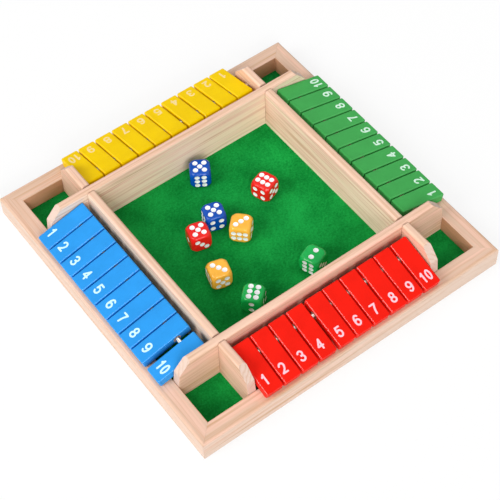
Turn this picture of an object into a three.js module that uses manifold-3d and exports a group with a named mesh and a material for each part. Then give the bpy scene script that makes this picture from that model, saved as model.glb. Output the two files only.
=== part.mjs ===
// Four-player dice game in a square wooden tray.
// A mitred frame round a felted floor, inner dividers that make a dice tray, four pockets and four rows,
// ten numbered tiles flipping on a steel rod along each side, and eight dice in the tray.
// Millimetres, +Z up, origin at the middle of the underside.
// The red row lies at -Y, green at +X, yellow at +Y and blue at -X; tile 1 is on its player's left.

import * as THREE from "three";
import { mergeVertices } from "three/addons/utils/BufferGeometryUtils.js";
import { RoundedBoxGeometry } from "three/addons/geometries/RoundedBoxGeometry.js";
import Module from "manifold-3d";

// Outer frame
const frame_width = 280;
const rail_height = 19;
const rail_width = 14;
const rail_outer_round = 2.2;
const rail_inner_round = 0.6;
const mitre_gap = 0.15; // hairline between two mitred ends

// Floor
const board_thickness = 3;
const board_lip = 6; // how far the board reaches under the rails
const felt_thickness = 0.5;

// Dividers
const tray_width = 166; // between the inner faces of the dividers
const divider_thickness = 7;
const divider_height = 43; // top edge above the underside
const divider_round = 2.2;
const corner_cut_length = 10.4; // sloping cut at each free end, along the divider
const corner_cut_depth = 11.5; // and down its end
const end_taper = 1.4; // lean of the end face between the cut and the top of the frame
const root_lap = 1; // how far a glued end reaches into the divider that it stands on

// Rods and tiles
const rod_diameter = 4;
const rod_to_divider = 16.7; // from the row's divider to the rod's axis
const rod_height = 30.6;
const rod_socket_depth = 5;
const tile_count = 10;
const tile_thickness = 8;
const tile_inner_reach = 12.5; // from the rod's axis to the end beside the divider
const tile_rest = 10.3; // how far in from the rail's inner face the outer end comes down on it
const tile_gap = 0.75; // least gap between two tiles as they lie
const row_play = 5.25; // width that the tiles and their gaps leave free between a row's two end walls
const tile_edge_round = 0.8;
const tile_corner_round = 0.9;
const tile_nose_round = 2.1; // upper edge beside the divider

// Dice
const die_size = 17.2;
const die_round = 2.6;
const pip_diameter = 4.2;
const pip_depth = 0.6;

// Clearances
const joint_gap = 0.2; // round a rod, at a butt joint and under a resting tile
const overrun = 1; // how far a cutting tool starts outside the wood

// The play of each row, handed out in front of the numbered tiles: [tile, share].
const play_shares = {
  red: [[1, 0.18], [2, 0.03], [3, 0.03], [4, 0.08], [5, 0.28], [7, 0.03], [8, 0.1], [10, 0.08]],
  green: [[1, 0.94], [5, 0.02]],
  yellow: [[1, 0.57], [3, 0.07], [4, 0.07], [5, 0.12], [8, 0.02]],
  blue: [[1, 0.05], [3, 0.02], [10, 0.8]],
};

// Dice as they lie: pips on top, pips on the side that faces -Y before the turn, and turn in degrees.
const dice_names = ["die_blue_1", "die_blue_2", "die_red_1", "die_red_2",
  "die_yellow_1", "die_yellow_2", "die_green_1", "die_green_2"];
const top_counts = [5, 5, 6, 5, 3, 3, 6, 2];
const front_counts = [6, 4, 4, 3, 6, 5, 2, 6];
const turn_degrees = [-31.5, -17.2, -70.7, -15.2, -45.9, -15.4, -48.4, -68.6];
// Their places: a spot in shares of the tray's width from its middle, and a step from there in shares of a
// die's size, with one spot for the three that lie close together.
const none_shares = [0, 0];
const close_shares = [-0.0744, 0.147];
const dice_spot_shares = [
  [0.0279, 0.4034], close_shares, [0.2278, 0.144], close_shares,
  close_shares, [-0.2512, -0.1386], [-0.2042, -0.344], [0.1443, -0.3431],
];
const dice_step_shares = [
  none_shares, none_shares, none_shares, [-1.218, -0.49],
  [0.614, -1.29], none_shares, none_shares, none_shares,
];

// Pips of each number, as shares of the die's size across its face.
const corner_share = 0.21;
const six_row_share = 0.276;
const six_column_share = 0.166;
const pip_place_shares = {
  1: [[0, 0]],
  2: [[0, -corner_share], [0, corner_share]],
  3: [[-corner_share, -corner_share], [0, 0], [corner_share, corner_share]],
  4: [-corner_share, corner_share].flatMap((a) => [[a, -corner_share], [a, corner_share]]),
  5: [[0, 0], ...[-corner_share, corner_share].flatMap((a) => [[a, -corner_share], [a, corner_share]])],
  6: [-six_column_share, six_column_share].flatMap((a) =>
    [-six_row_share, 0, six_row_share].map((b) => [a, b])),
};
// Outward direction of each number on a right-handed die, and the two directions that its pips follow.
const [right, back, up] = [0, 1, 2].map((i) => new THREE.Vector3().setComponent(i, 1));
const [left, front, down] = [right, back, up].map((direction) => direction.clone().negate());
const die_faces = {
  1: { out: up, across: right, along: back },
  2: { out: front, across: right, along: up },
  3: { out: right, across: back, along: up },
  4: { out: left, across: back, along: up },
  5: { out: back, across: right, along: up },
  6: { out: down, across: right, along: back },
};

// Worked out from the sizes above
const frame_half = frame_width / 2;
const opening_half = frame_half - rail_width;
const felt_top = board_thickness + felt_thickness;
const tray_half = tray_width / 2;
const divider_outer = tray_half + divider_thickness; // outer face of every divider
const divider_end = opening_half - joint_gap;
const rod_offset = divider_outer + rod_to_divider; // rod axis from the middle of the tray
const socket_radius = rod_diameter / 2 + joint_gap;
const tile_width = (tray_width - row_play - (tile_count - 1) * tile_gap) / tile_count;
// the rail is this far below the axis, and the lower corner of a tile's outer end comes down on it
const drop = rod_height - rail_height - joint_gap;
const landing = Math.hypot(opening_half + tile_rest - rod_offset, drop);
const tile_outer_reach = Math.sqrt(landing ** 2 - (tile_thickness / 2) ** 2);

const finishes = {
  pine: new THREE.MeshStandardMaterial({ color: 0xe8c8ac, roughness: 0.62, metalness: 0 }),
  plywood: new THREE.MeshStandardMaterial({ color: 0xd9bb92, roughness: 0.75, metalness: 0 }),
  felt: new THREE.MeshStandardMaterial({ color: 0x0c7a2c, roughness: 1, metalness: 0 }),
  steel: new THREE.MeshStandardMaterial({ color: 0xc6c8ca, roughness: 0.25, metalness: 1 }),
  red: new THREE.MeshStandardMaterial({ color: 0xf0201c, roughness: 0.42, metalness: 0 }),
  green: new THREE.MeshStandardMaterial({ color: 0x3f9c50, roughness: 0.42, metalness: 0 }),
  yellow: new THREE.MeshStandardMaterial({ color: 0xf9c802, roughness: 0.42, metalness: 0 }),
  blue: new THREE.MeshStandardMaterial({ color: 0x2f95f5, roughness: 0.42, metalness: 0 }),
  die_red: new THREE.MeshStandardMaterial({ color: 0xd31f18, roughness: 0.18, metalness: 0 }),
  die_green: new THREE.MeshStandardMaterial({ color: 0x17923f, roughness: 0.18, metalness: 0 }),
  die_yellow: new THREE.MeshStandardMaterial({ color: 0xe8a62c, roughness: 0.18, metalness: 0 }),
  die_blue: new THREE.MeshStandardMaterial({ color: 0x1549b5, roughness: 0.18, metalness: 0 }),
};

const wasm = await Module();
wasm.setup();

const object = new THREE.Group();

function addPiece(parent, name, geometry, finish) {
  const mesh = new THREE.Mesh(geometry, finish);
  mesh.name = name;
  parent.add(mesh);
  return mesh;
}

// Solids to join and cut
function toSolid(geometry) {
  const bare = new THREE.BufferGeometry();
  bare.setAttribute("position", geometry.getAttribute("position"));
  bare.setIndex(geometry.getIndex());
  const merged = mergeVertices(bare);
  return new wasm.Manifold(new wasm.Mesh({
    numProp: 3,
    vertProperties: new Float32Array(merged.getAttribute("position").array),
    triVerts: new Uint32Array(merged.getIndex().array),
  }));
}

function toGeometry(solid) {
  const mesh = solid.getMesh();
  const geometry = new THREE.BufferGeometry();
  geometry.setAttribute("position", new THREE.BufferAttribute(mesh.vertProperties, 3));
  geometry.setIndex(new THREE.BufferAttribute(mesh.triVerts, 1));
  geometry.computeVertexNormals();
  return geometry;
}

// Outline with its corners turned into arcs, each corner with a radius of its own.
function roundCorners(corners, radii, steps) {
  return corners.flatMap((corner, i) => {
    const radius = radii[i];
    const before = corners.at(i - 1).clone().sub(corner).normalize();
    const after = corners[(i + 1) % corners.length].clone().sub(corner).normalize();
    const half = before.angleTo(after) / 2;
    const middle = before.clone().add(after).normalize();
    const centre = middle.multiplyScalar(radius / Math.sin(half)).add(corner);
    const start = before.multiplyScalar(radius / Math.tan(half)).add(corner).sub(centre);
    const sweep = Math.PI - 2 * half;
    return Array.from({ length: steps + 1 }, (_, k) =>
      start.clone().rotateAround(new THREE.Vector2(), (sweep * k) / steps).add(centre));
  });
}

// Outline with every edge moved inwards by the rim's inset times the edge's own share.
function insetOutline(outline, edge_shares, inset) {
  const lines = outline.map((point, i) => {
    const along = outline[(i + 1) % outline.length].clone().sub(point).normalize();
    const inwards = new THREE.Vector2(-along.y, along.x);
    return { point: inwards.clone().multiplyScalar(inset * edge_shares[i]).add(point), along };
  });
  return lines.map((line, i) => {
    const previous = lines.at(i - 1);
    const turn = previous.along.cross(line.along);
    const reach = line.point.clone().sub(previous.point).cross(line.along) / turn;
    return previous.along.clone().multiplyScalar(reach).add(previous.point);
  });
}

// Plate of the outline in x and y and the thickness along z, with a rounded rim on both faces.
function roundedPlate(outline, edge_shares, thickness, round, steps) {
  const rim = Array.from({ length: steps + 1 }, (_, k) => {
    const angle = (Math.PI / 2) * (1 - k / steps);
    return { inset: round * (1 - Math.cos(angle)), z: thickness / 2 - round * (1 - Math.sin(angle)) };
  });
  const levels = [...rim.map(({ inset, z }) => ({ inset, z: -z })), ...rim.toReversed()];
  const loops = levels.map(({ inset, z }) =>
    insetOutline(outline, edge_shares, inset).map((p) => [p.x, p.y, z]));
  const count = outline.length;
  const index = [];
  for (let row = 0; row + 1 < loops.length; row++)
    for (let i = 0; i < count; i++) {
      const [a, b] = [row * count + i, row * count + ((i + 1) % count)];
      index.push(a, b, b + count, a, b + count, a + count);
    }
  const last = (loops.length - 1) * count;
  for (const [a, b, c] of THREE.ShapeUtils.triangulateShape(outline, [])) {
    index.push(a, c, b);
    index.push(last + a, last + b, last + c);
  }
  const geometry = new THREE.BufferGeometry();
  geometry.setAttribute("position", new THREE.Float32BufferAttribute(loops.flat(2), 3));
  geometry.setIndex(index);
  geometry.computeVertexNormals();
  return geometry;
}

function roundBar(diameter, length, sides = 20) {
  return new THREE.CylinderGeometry(diameter / 2, diameter / 2, length, sides);
}

// Frame rail, in section: x is the distance from the middle of the tray, y the height.
function railSection() {
  const [inner, outer] = [opening_half, frame_half];
  const section = new THREE.Shape();
  section.moveTo(inner + board_lip, 0);
  section.lineTo(outer, 0);
  section.lineTo(outer, rail_height - rail_outer_round);
  section.absarc(outer - rail_outer_round, rail_height - rail_outer_round, rail_outer_round,
    0, Math.PI / 2);
  section.lineTo(inner + rail_inner_round, rail_height);
  section.absarc(inner + rail_inner_round, rail_height - rail_inner_round, rail_inner_round,
    Math.PI / 2, Math.PI);
  section.lineTo(inner, board_thickness + joint_gap);
  section.lineTo(inner + board_lip, board_thickness + joint_gap);
  return section;
}

// The section is drawn out along the rail and each end is slid to the 45 degree mitre.
function frameRail() {
  const rail = new THREE.ExtrudeGeometry(railSection(), {
    depth: frame_width, bevelEnabled: false, curveSegments: 5,
  });
  const position = rail.getAttribute("position");
  for (let i = 0; i < position.count; i++) {
    const end = position.getZ(i) > frame_half ? 1 : -1;
    position.setZ(i, end * (position.getX(i) - mitre_gap));
  }
  rail.computeVertexNormals();
  return rail;
}

const rail_geometry = frameRail();
["frame_rail_right", "frame_rail_back", "frame_rail_left", "frame_rail_front"].forEach((name, i) => {
  const rail = addPiece(object, name, rail_geometry, finishes.pine);
  rail.rotation.set(Math.PI / 2, (Math.PI / 2) * i, 0);
});

// Floor board, let into the rails from below, and the felt on it.
function floorSheet(half_width, thickness, bottom) {
  const sheet = new THREE.BoxGeometry(2 * half_width, 2 * half_width, thickness);
  return sheet.translate(0, 0, bottom + thickness / 2);
}
addPiece(object, "base_board",
  floorSheet(opening_half + board_lip - joint_gap, board_thickness, 0), finishes.plywood);
addPiece(object, "felt_lining",
  floorSheet(opening_half - joint_gap, felt_thickness, board_thickness), finishes.felt);

// Divider from its side: x along it, y the height. A free end has the sloping cut, a glued end is square.
function dividerOutline(start, end, free_start, free_end) {
  const points = [];
  const addEnd = (place, free, way) => {
    const side = [new THREE.Vector2(place, felt_top)];
    if (free) {
      side.push(new THREE.Vector2(place, rail_height));
      side.push(new THREE.Vector2(place - way * end_taper, divider_height - corner_cut_depth));
      side.push(new THREE.Vector2(place - way * (end_taper + corner_cut_length), divider_height));
    } else side.push(new THREE.Vector2(place, divider_height));
    points.push(...(way > 0 ? side : side.toReversed()));
  };
  addEnd(end, free_end, 1);
  addEnd(start, free_start, -1);
  return points;
}

// A divider's top is rounded over. Its foot and its sawn ends are flat.
function divider(start, end, free_start, free_end) {
  const outline = dividerOutline(start, end, free_start, free_end);
  const edge_shares = outline.map((point, i) => {
    const next = outline[(i + 1) % outline.length];
    return point.y === divider_height && next.y === divider_height ? 1 : 0;
  });
  return roundedPlate(outline, edge_shares, divider_thickness, divider_round, 4);
}

// Blind hole for the end of a rod that runs along x, opening at the face at tray_half.
function rodSocket() {
  const depth = rod_socket_depth + overrun;
  const hole = roundBar(2 * socket_radius, depth).rotateZ(Math.PI / 2);
  return hole.translate(tray_half - overrun + depth / 2, 0, rod_height);
}

// The long divider of the red row, its two end walls and the short divider of the blue row, glued together.
function dividerAssembly() {
  const stand = new THREE.Matrix4().makeRotationX(Math.PI / 2);
  const quarter = new THREE.Matrix4().makeRotationZ(Math.PI / 2);
  const middle = (tray_half + divider_outer) / 2;
  const long = divider(-divider_end, divider_end, true, true)
    .applyMatrix4(stand).translate(0, -middle, 0);
  const across = (start, end, free_start, x) =>
    divider(start, end, free_start, false).applyMatrix4(stand).applyMatrix4(quarter).translate(x, 0, 0);
  let wood = toSolid(long);
  for (const side of [-1, 1])
    wood = wood.add(toSolid(across(-divider_end, root_lap - divider_outer, true, side * middle)));
  wood = wood.add(toSolid(across(-tray_half - root_lap, tray_half - joint_gap, false, -middle)));
  // red rod in the end walls, one end of the blue and of the green rod in the long divider
  for (const side of [-1, 1]) {
    const red = rodSocket();
    if (side < 0) red.rotateZ(Math.PI);
    wood = wood.subtract(toSolid(red.translate(0, -rod_offset, 0)));
    const cross = rodSocket().rotateZ(-Math.PI / 2).translate(side * rod_offset, 0, 0);
    wood = wood.subtract(toSolid(cross));
  }
  return toGeometry(wood);
}

const divider_geometry = dividerAssembly();
addPiece(object, "divider_front", divider_geometry, finishes.pine);
addPiece(object, "divider_back", divider_geometry, finishes.pine).rotation.z = Math.PI;

// Tile from its side: x away from the divider, y up, origin on the rod's axis.
const tile_outline = roundCorners(
  [
    new THREE.Vector2(-tile_inner_reach, -tile_thickness / 2),
    new THREE.Vector2(tile_outer_reach, -tile_thickness / 2),
    new THREE.Vector2(tile_outer_reach, tile_thickness / 2),
    new THREE.Vector2(-tile_inner_reach, tile_thickness / 2),
  ],
  [tile_corner_round, tile_corner_round, tile_corner_round, tile_nose_round],
  2,
);

// A tile rests with its outer end on the frame: the slope at which its outline comes down to the rail.
const tile_slope = Math.min(...tile_outline.filter((p) => p.x > 0 && p.length() > drop)
  .map((p) => Math.asin(drop / p.length()) + Math.atan2(p.y, p.x)));

function tileBody() {
  const rounded_shares = tile_outline.map(() => 1);
  const blank = roundedPlate(tile_outline, rounded_shares, tile_width, tile_edge_round, 1);
  const bore = roundBar(2 * socket_radius, tile_width + 2 * overrun, 14).rotateX(Math.PI / 2);
  return toGeometry(toSolid(blank).subtract(toSolid(bore)));
}

const tile_geometry = tileBody();
const rod_geometry = roundBar(rod_diameter, tray_width + 2 * (rod_socket_depth - joint_gap))
  .rotateZ(Math.PI / 2);

// One side of the game, drawn as the red row and turned to its own side.
function addRow(colour, quarter_turns) {
  const row = new THREE.Group();
  row.rotation.z = (Math.PI / 2) * quarter_turns;
  object.add(row);
  addPiece(row, `rod_${colour}`, rod_geometry, finishes.steel).position.set(0, -rod_offset, rod_height);
  const outwards = new THREE.Matrix4().makeBasis(
    new THREE.Vector3(0, -1, 0), new THREE.Vector3(0, 0, 1), new THREE.Vector3(-1, 0, 0));
  const sloped = outwards.multiply(new THREE.Matrix4().makeRotationZ(-tile_slope));
  const play = new Map(play_shares[colour]);
  let start = -tray_half;
  for (let number = 1; number <= tile_count; number++) {
    start += (play.get(number) ?? 0) * row_play;
    const tile = addPiece(row, `tile_${colour}_${number}`, tile_geometry, finishes[colour]);
    tile.quaternion.setFromRotationMatrix(sloped);
    tile.position.set(start + tile_width / 2, -rod_offset, rod_height);
    start += tile_width + tile_gap;
  }
}
["red", "green", "yellow", "blue"].forEach((colour, i) => addRow(colour, i));

// Die with a dimple for each pip, number 1 up and number 2 towards -Y.
function dieBody() {
  let body = toSolid(new RoundedBoxGeometry(die_size, die_size, die_size, 2, die_round));
  const depth = pip_depth + overrun;
  const cone_radius = (pip_diameter / 2) * (depth / pip_depth);
  for (const [number, { out, across, along }] of Object.entries(die_faces)) {
    const turn = new THREE.Quaternion().setFromUnitVectors(front, out);
    for (const [a, b] of pip_place_shares[number]) {
      const centre = out.clone().multiplyScalar(die_size / 2 - pip_depth + depth / 2)
        .addScaledVector(across, a * die_size).addScaledVector(along, b * die_size);
      // the cone's point, at +Y, is turned inwards
      const dimple = new THREE.ConeGeometry(cone_radius, depth, 8).applyQuaternion(turn);
      body = body.subtract(toSolid(dimple.translate(centre.x, centre.y, centre.z)));
    }
  }
  return toGeometry(body);
}

const die_geometry = dieBody();
dice_names.forEach((name, i) => {
  const top = die_faces[top_counts[i]].out;
  const rear = die_faces[front_counts[i]].out.clone().negate();
  const rolled = new THREE.Matrix4().makeBasis(rear.clone().cross(top), rear, top).transpose();
  rolled.premultiply(new THREE.Matrix4().makeRotationZ(THREE.MathUtils.degToRad(turn_degrees[i])));
  const die = addPiece(object, name, die_geometry, finishes[name.slice(0, name.lastIndexOf("_"))]);
  die.quaternion.setFromRotationMatrix(rolled);
  const [x, y] = dice_spot_shares[i].map((spot, k) =>
    spot * tray_width + dice_step_shares[i][k] * die_size);
  die.position.set(x, y, felt_top + die_size / 2);
});

export default object;
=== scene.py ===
import math
import random

import bmesh
import bpy
from bpy.props import FloatProperty, FloatVectorProperty, IntProperty, PointerProperty
from mathutils import Matrix, Vector


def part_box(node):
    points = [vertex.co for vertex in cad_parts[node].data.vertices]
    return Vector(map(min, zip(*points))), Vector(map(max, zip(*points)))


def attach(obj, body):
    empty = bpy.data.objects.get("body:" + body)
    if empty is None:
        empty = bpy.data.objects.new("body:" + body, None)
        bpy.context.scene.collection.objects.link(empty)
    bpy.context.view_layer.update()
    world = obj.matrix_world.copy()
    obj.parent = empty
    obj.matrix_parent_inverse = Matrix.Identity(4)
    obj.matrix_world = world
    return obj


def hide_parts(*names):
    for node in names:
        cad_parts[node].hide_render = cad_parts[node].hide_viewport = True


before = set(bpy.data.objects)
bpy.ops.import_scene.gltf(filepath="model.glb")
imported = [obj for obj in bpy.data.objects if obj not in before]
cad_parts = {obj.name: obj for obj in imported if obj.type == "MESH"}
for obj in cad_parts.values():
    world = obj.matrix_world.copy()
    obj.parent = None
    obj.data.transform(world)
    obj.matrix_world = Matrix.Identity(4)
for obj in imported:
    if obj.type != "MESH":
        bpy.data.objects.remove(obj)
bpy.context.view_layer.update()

bl_info = {
    "name": "Wooden board game",
    "version": (1, 0, 0),
    "blender": (4, 5, 0),
    "location": "3D View > Sidebar > Board Game",
    "description": "Flip-tile dice game in a square wooden tray, dressed piece by piece round its CAD model",
    "category": "Add Mesh",
}

MM = 0.001
RING_SPACING = 3.2  # mm between growth rings
FELT_SQUARES = 180  # of the felt's mesh, along a side
FELT_SEED, RAIL_SEED, DIVIDER_SEED, BARE_WOOD_SEED = 5, 11, 31, 71
ROD_CHAMFER = 0.4 * MM
GLUE_GAP = 0.02 * MM  # between a short divider's end and the long one
PRINT_ROOT = 0.15 * MM  # how deep a number's paint starts below the tile's face
CORNER_BLEND = 0.7 * MM  # width over which a die's trimmed corner runs into its edges
CUTTER_RISE = 0.4 * MM  # how far a pip's cutter stands above the face
UP = Vector((0, 0, 1))
# The four rows, a quarter turn apart, with the colour codes of their paint, numbers and dice
ROW_CODES = {
    "red": ("ee2014", "ffc8d4", "ea1f19"),
    "green": ("47ad57", "deffea", "16b352"),
    "yellow": ("ffd200", "fbe09e", "ffb943"),
    "blue": ("3097e6", "ccf3fc", "044cb0"),
}
SIDES = {"front": 0, "right": 1, "back": 2, "left": 3}  # quarter turns from -Y

# Dice as they lie: number on top, number on the side facing -Y before the turn, and the turn in degrees
DICE = {
    "blue_1": (5, 6, -31.5),
    "blue_2": (5, 4, -17.2),
    "red_1": (6, 4, -70.7),
    "red_2": (5, 3, -15.2),
    "yellow_1": (3, 6, -45.9),
    "yellow_2": (3, 5, -15.4),
    "green_1": (6, 2, -48.4),
    "green_2": (2, 6, -68.6),
}
# Numbers as they were printed: mm from the middle of each tile towards tile 1, and mm further out on the tile
PRINTED = {
    "red": ((1.9, 2.2, 1.5, 1.5, 1.0, 0.5, 0.3, -0.4, -0.7, 0.2), -0.9, 0.2),
    "green": ((2.1, 2.3, 1.7, 1.6, 1.3, 0.9, 0.8, 0.2, -0.3, 0.8), 1.0, 0.04),
    "yellow": ((1.0, 1.0, 0.8, 1.3, 1.1, 0.7, 0.5, 0.3, 0.0, 0.7), 1.0, 0.01),
    "blue": ((2.5, 2.1, 1.3, 1.3, 0.7, 0.2, 0.6, 0.5, 0.2, 0.1), -1.0, 0.08),
}
# Lamps: place in metres, diameter in metres and watts
LAMPS = {
    "key_light": ((-10.0, 0.8, 7.2), 7.6, 862),
    "front_light": ((-3.6, -10.4, 6.8), 8.0, 840),
    "small_light": ((-2.4, -4.9, 3.6), 0.7, 32),
    "top_light": ((0.5, 1.2, 3.6), 3.0, 27),
}
WORLD_FILL = 0.315  # light of the surroundings, where 1 is white
FLOOR_WHITE = 0.78  # share of plain white in the floor as the camera sees it
FLOOR_REACH = 4.0  # metres from the middle
# Camera fitted to the photograph: azimuth, elevation and roll in degrees, and lengths in mm
PHOTO_ANGLES = (-34.763, 54.242, -2.371)
PHOTO_LENS = 103.09
PHOTO_DISTANCE = 1130.4
PHOTO_TARGET = (-4.28, -12.16, 0)
# Outward direction of each number on a right-handed die, and the two directions its pips are laid out along
DIE_FACES = {
    1: ((0, 0, 1), (1, 0, 0), (0, 1, 0)),
    2: ((0, -1, 0), (1, 0, 0), (0, 0, 1)),
    3: ((1, 0, 0), (0, 1, 0), (0, 0, 1)),
    4: ((-1, 0, 0), (0, 1, 0), (0, 0, 1)),
    5: ((0, 1, 0), (1, 0, 0), (0, 0, 1)),
    6: ((0, 0, -1), (1, 0, 0), (0, 1, 0)),
}


def hexcolour(text):
    """Linear colour of an sRGB hex code."""
    parts = [int(text[i:i + 2], 16) / 255 for i in (0, 2, 4)]
    return tuple(c / 12.92 if c <= 0.04045 else ((c + 0.055) / 1.055) ** 2.4 for c in parts)


# Sizes and colours

def length(name, description, default):
    return FloatProperty(
        name=name, description=description, default=default, min=0, precision=5,
        subtype="DISTANCE", unit="LENGTH",
    )


def colour(name, description, code):
    return FloatVectorProperty(
        name=name, description=description, default=hexcolour(code), size=3, min=0, max=1,
        subtype="COLOR",
    )


def high(node):
    """Upper corner of a CAD node's box."""
    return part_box(node)[1]


def rod_line():
    """How far out and how high the axes of the rods lie."""
    bottom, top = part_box("rod_red")
    return -(bottom.y + top.y) / 2, (bottom.z + top.z) / 2


class TraySizes(bpy.types.PropertyGroup):
    frame_half: length("Half frame", "Half the outer width of the frame", high("frame_rail_right").x)
    rail_width: length("Rail width", "Width of a frame rail", 14 * MM)
    rail_height: length("Rail height", "Height of the frame above the table", high("frame_rail_front").z)
    rail_outer_round: length("Outer round", "Radius of a rail's outer upper edge", 2.2 * MM)
    rail_inner_round: length("Inner round", "Radius of a rail's inner upper edge", 0.6 * MM)
    mitre_gap: length("Mitre gap", "Hairline between two mitred rails", 0.05 * MM)
    board_lip: length("Board lip", "How far the base board reaches under the rails", 6 * MM)
    board_top: length("Board top", "Height of the base board's upper face", high("base_board").z)
    felt_top: length("Felt top", "Height of the felt's upper face", high("felt_lining").z)
    felt_nap: length("Felt nap", "Unevenness of the brushed felt", 0.12 * MM)
    tray_half: length("Half tray", "Middle of the tray to a divider's inner face", 83 * MM)
    divider_thickness: length("Divider thickness", "Thickness of a divider", 7 * MM)
    divider_height: length("Divider height", "Upper edge of the dividers", high("divider_front").z)
    divider_round: length("Divider round", "Radius of a divider's upper edges", 2.2 * MM)
    divider_end: length("Divider end", "Middle of the tray to a divider's free end", high("divider_front").x)
    corner_cut_length: length("Cut length", "Sloping cut of a free end, along the divider", 10.4 * MM)
    corner_cut_depth: length("Cut depth", "Sloping cut of a free end, down the divider", 11.5 * MM)
    end_taper: length("End taper", "Lean of a free end below its cut", 1.4 * MM)
    crisp_edge: length("Crisp edge", "Softening of a sawn edge", 0.35 * MM)
    rod_diameter: length("Rod diameter", "Diameter of a steel rod", 4 * MM)
    rod_play: length("Rod play", "Clearance round a rod in its hole", 0.2 * MM)
    rod_socket_depth: length("Socket depth", "Depth of a rod's blind hole", 5 * MM)


class TileSizes(bpy.types.PropertyGroup):
    thickness: length("Thickness", "Thickness of a tile", 8 * MM)
    inner_reach: length("Inner reach", "Rod's axis to a tile's inner end", 12.5 * MM)
    outer_reach: length("Outer reach", "Rod's axis to a tile's outer end", 31.463 * MM)
    edge_round: length("Edge round", "Radius of a tile's edges", 1.0 * MM)
    corner_round: length("Corner round", "Radius of a tile's corners in section", 0.9 * MM)
    paint_gap: length("Side clearance", "How much narrower a tile is on each side", 0.2 * MM)
    outer_corner: length("Outer corners", "Radius of the outer corners seen from above", 1.3 * MM)
    inner_corner: length("Inner corners", "Radius of the inner corners seen from above", 1.15 * MM)
    nose_round: length("Nose round", "Radius of the upper edge beside the divider", 1.5 * MM)
    countersink: length("Countersink", "Chamfer round each end of the bore", 0.9 * MM)
    number_height: length("Number height", "Height of a painted number", 9.1 * MM)
    number_width: length("Number width", "Width of a painted digit", 5.45 * MM)
    number_stroke: length("Number stroke", "Width of a number's stroke", 1.48 * MM)
    number_place: length("Number place", "Rod's axis to the middle of a number", 21.6 * MM)
    number_relief: length("Paint relief", "How far the paint of a number stands proud", 0.04 * MM)
    digit_step: length("Digit step", "Distance between the middles of the two digits of ten", 5.2 * MM)


class DiceSizes(bpy.types.PropertyGroup):
    size: length("Size", "Edge length of a die", 17.2 * MM)
    edge_round: length("Edge round", "Radius of a die's edges", 2.3 * MM)
    corner_sphere: length("Corner sphere", "Radius of the sphere that trims the corners", 12.1 * MM)
    pip_diameter: length("Pip diameter", "Diameter of a pip", 4.25 * MM)
    pip_depth: length("Pip depth", "Depth of a pip's dimple", 0.42 * MM)
    grid: IntProperty(name="Grid", description="Mesh squares along a face", default=34, min=8, max=80)


class GameColours(bpy.types.PropertyGroup):
    pine_light: colour("Pine of the dividers", "Pale ground of the dividers", "f1ccb3")
    # pine_wall: the dividers' upright faces are coloured lighter than their tops, painted light for how the
    # lamps fall on the walls
    pine_wall: colour("Pine of the dividers, upright", "Warmer cast of their upright faces", "ffe7ce")
    rail_light: colour("Pine of the frame", "Ground of the rails", "dfbea7")
    # rail_wall: the rails' upright faces are coloured paler than their tops, painted light for how the lamps
    # fall on them
    rail_wall: colour("Pine of the frame, upright", "Paler cast of the rails' upright faces", "dfc9b9")
    # the rails' inner faces take a deeper brown: painted shade of the recess
    rail_recess: colour("Pine of the frame, inside", "Deeper cast of the rails' inner faces", "d29c7a")
    # boards that stand in the pockets: tops as the dividers', upright faces darker, painted shade of the
    # pockets
    shade_light: colour("Pine of the pockets", "Ground of the boards that stand in the pockets", "f1ccb3")
    shade_wall: colour("Pine of the pockets, upright", "Cast of their upright faces", "e8c4ab")
    pine_pink: colour("Pine, pink", "Pinkish cast of the pine", "f4c8b4")
    pine_dark: colour("Pine, late wood", "Brown streaks of the pine", "c89a70")
    pine_end: colour("Pine, end grain", "End grain of the pine", "dfc6b8")
    glue_line: colour("Joint line", "Dark line of a glued joint", "7a4e34")
    plywood: colour("Plywood", "Face veneer of the base board", "d9bb92")
    plywood_dark: colour("Plywood grain", "Streaks in the veneer", "b98f61")
    felt_dark: colour("Felt, deep", "Hollows of the brushed felt", "047029")
    felt_light: colour("Felt, nap", "Raised nap of the felt", "1ba548")
    steel: colour("Steel", "Rods", "d0ccc4")
    pip: colour("Pips", "Enamel in the pips", "f9fafc")
    floor: colour("Floor", "Plain floor of the stage", "f9f9f9")


for hue, codes in ROW_CODES.items():
    for key, label, note, code in zip(
        ("{}", "number_{}", "die_{}"), ("Tiles, {}", "Numbers on {}", "Dice, {}"),
        ("Paint of the {} tiles", "Print on the {} tiles", "Plastic of the {} dice"), codes,
    ):
        GameColours.__annotations__[key.format(hue)] = colour(label.format(hue), note.format(hue), code)


class BoardGame(bpy.types.PropertyGroup):
    tray: PointerProperty(type=TraySizes)
    tile: PointerProperty(type=TileSizes)
    die: PointerProperty(type=DiceSizes)
    colours: PointerProperty(type=GameColours)


# Shader nodes

def maths(operation, swapped=False):
    """Method that adds a Math node of this operation, with its two values swapped if need be."""
    def method(self, *others):
        values = (*others, self) if swapped else (self, *others)
        return self.finish.node("ShaderNodeMath", {"operation": operation}, dict(enumerate(values)))
    return method


class Flow:
    """A socket of a material's node tree. Python's operators on it add Math nodes."""

    def __init__(self, finish, socket):
        self.finish = finish
        self.socket = socket

    __add__ = __radd__ = maths("ADD")
    __sub__ = maths("SUBTRACT")
    __rsub__ = maths("SUBTRACT", swapped=True)
    __mul__ = __rmul__ = maths("MULTIPLY")
    __pow__ = maths("POWER")
    __abs__ = maths("ABSOLUTE")
    sine = maths("SINE")
    root = maths("SQRT")
    least = maths("MINIMUM")

    def step(self, start, end):
        """Smooth step from 0 at start to 1 at end."""
        settings = {"interpolation_type": "SMOOTHSTEP"}
        inputs = {"Value": self, "From Min": start, "From Max": end}
        return self.finish.node("ShaderNodeMapRange", settings, inputs)


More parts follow.
